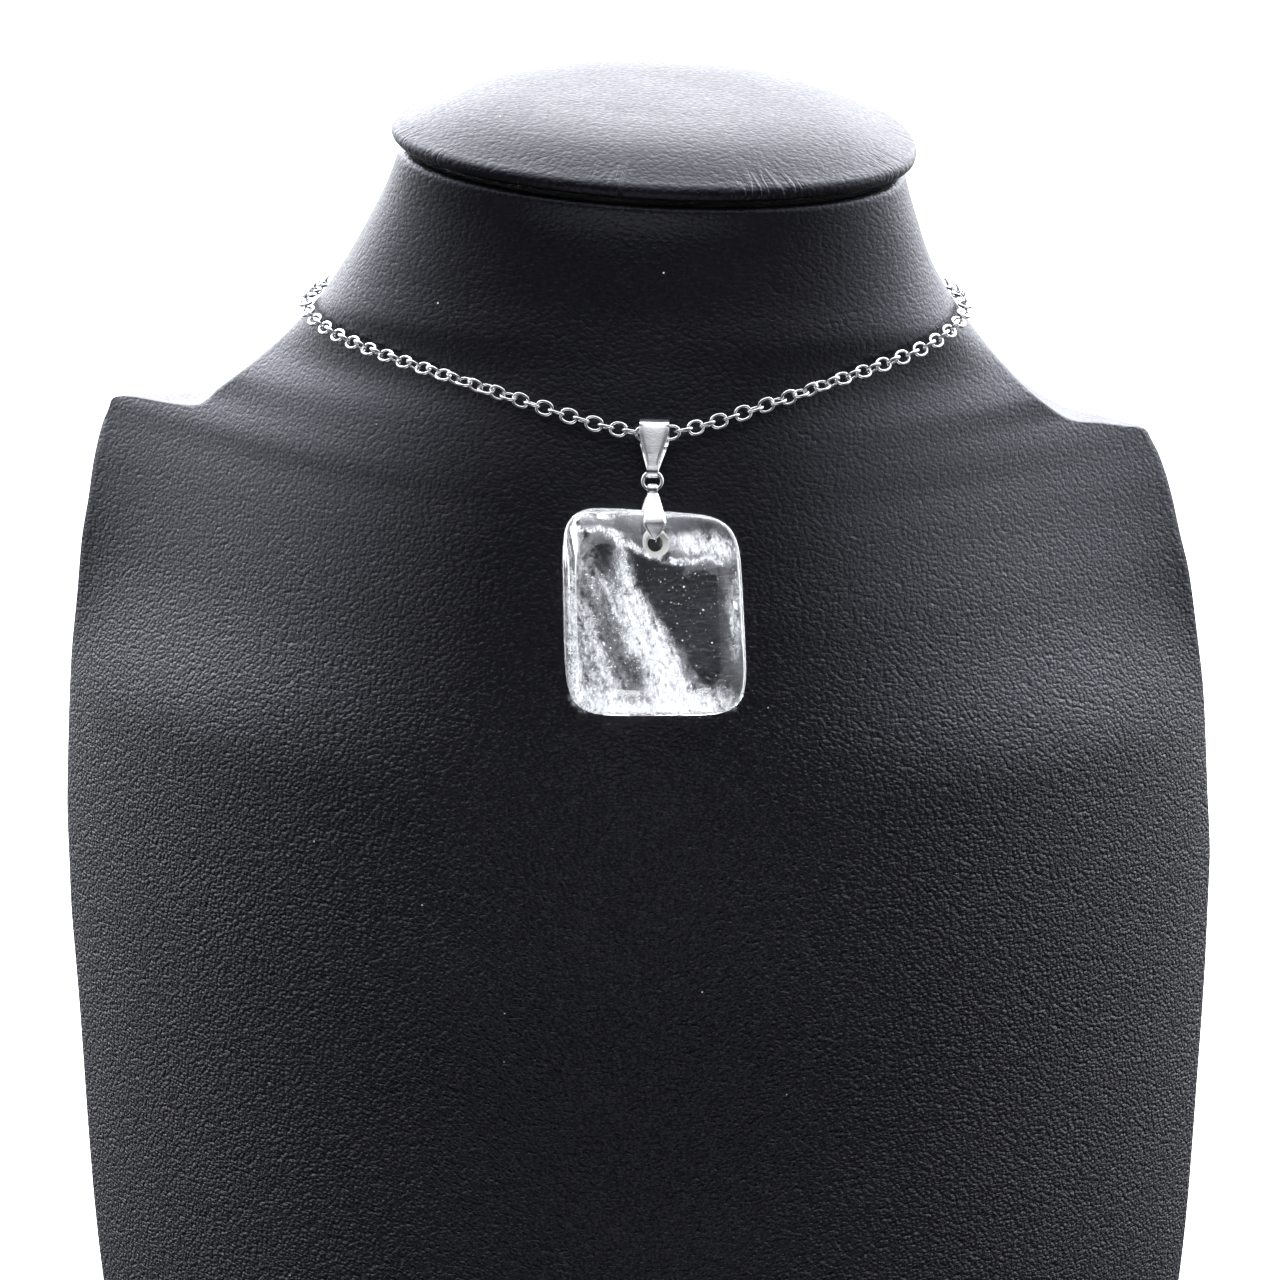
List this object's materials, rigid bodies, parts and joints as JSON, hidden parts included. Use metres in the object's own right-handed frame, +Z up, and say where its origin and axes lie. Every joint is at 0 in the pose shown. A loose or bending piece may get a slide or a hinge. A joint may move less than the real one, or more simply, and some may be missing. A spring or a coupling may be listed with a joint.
{
  "type": "rock crystal pendant necklace on a neck bust",
  "caption": "Drilled rounded-rectangle clear quartz pendant on a pinch clasp, ring and tapered loop, hung on a fine cable chain round a black leatherette neck bust.",
  "frame": {"origin": "middle of the flat base of the bust, which stands on it; the box of the whole part is centred over it", "axes": "+Z up from the base to the neck cap, +X to the viewer's right, -Y toward the viewer, where the pendant hangs"},
  "size_m": [0.1922, 0.099, 0.2226],
  "materials": {
    "leatherette": "fine pebble grain, satin",
    "rock_crystal": "polished, with white veils inside",
    "silver_plate": "bright polished"
  },
  "bodies": {
    "root": {"bust_body": "leatherette", "neck_cap": "leatherette", "crystal": "rock_crystal", "pinch_clasp": "silver_plate", "jump_ring": "silver_plate", "bail": "silver_plate", "chain": "silver_plate", "clasp": "silver_plate"}
  },
  "joints": []
}
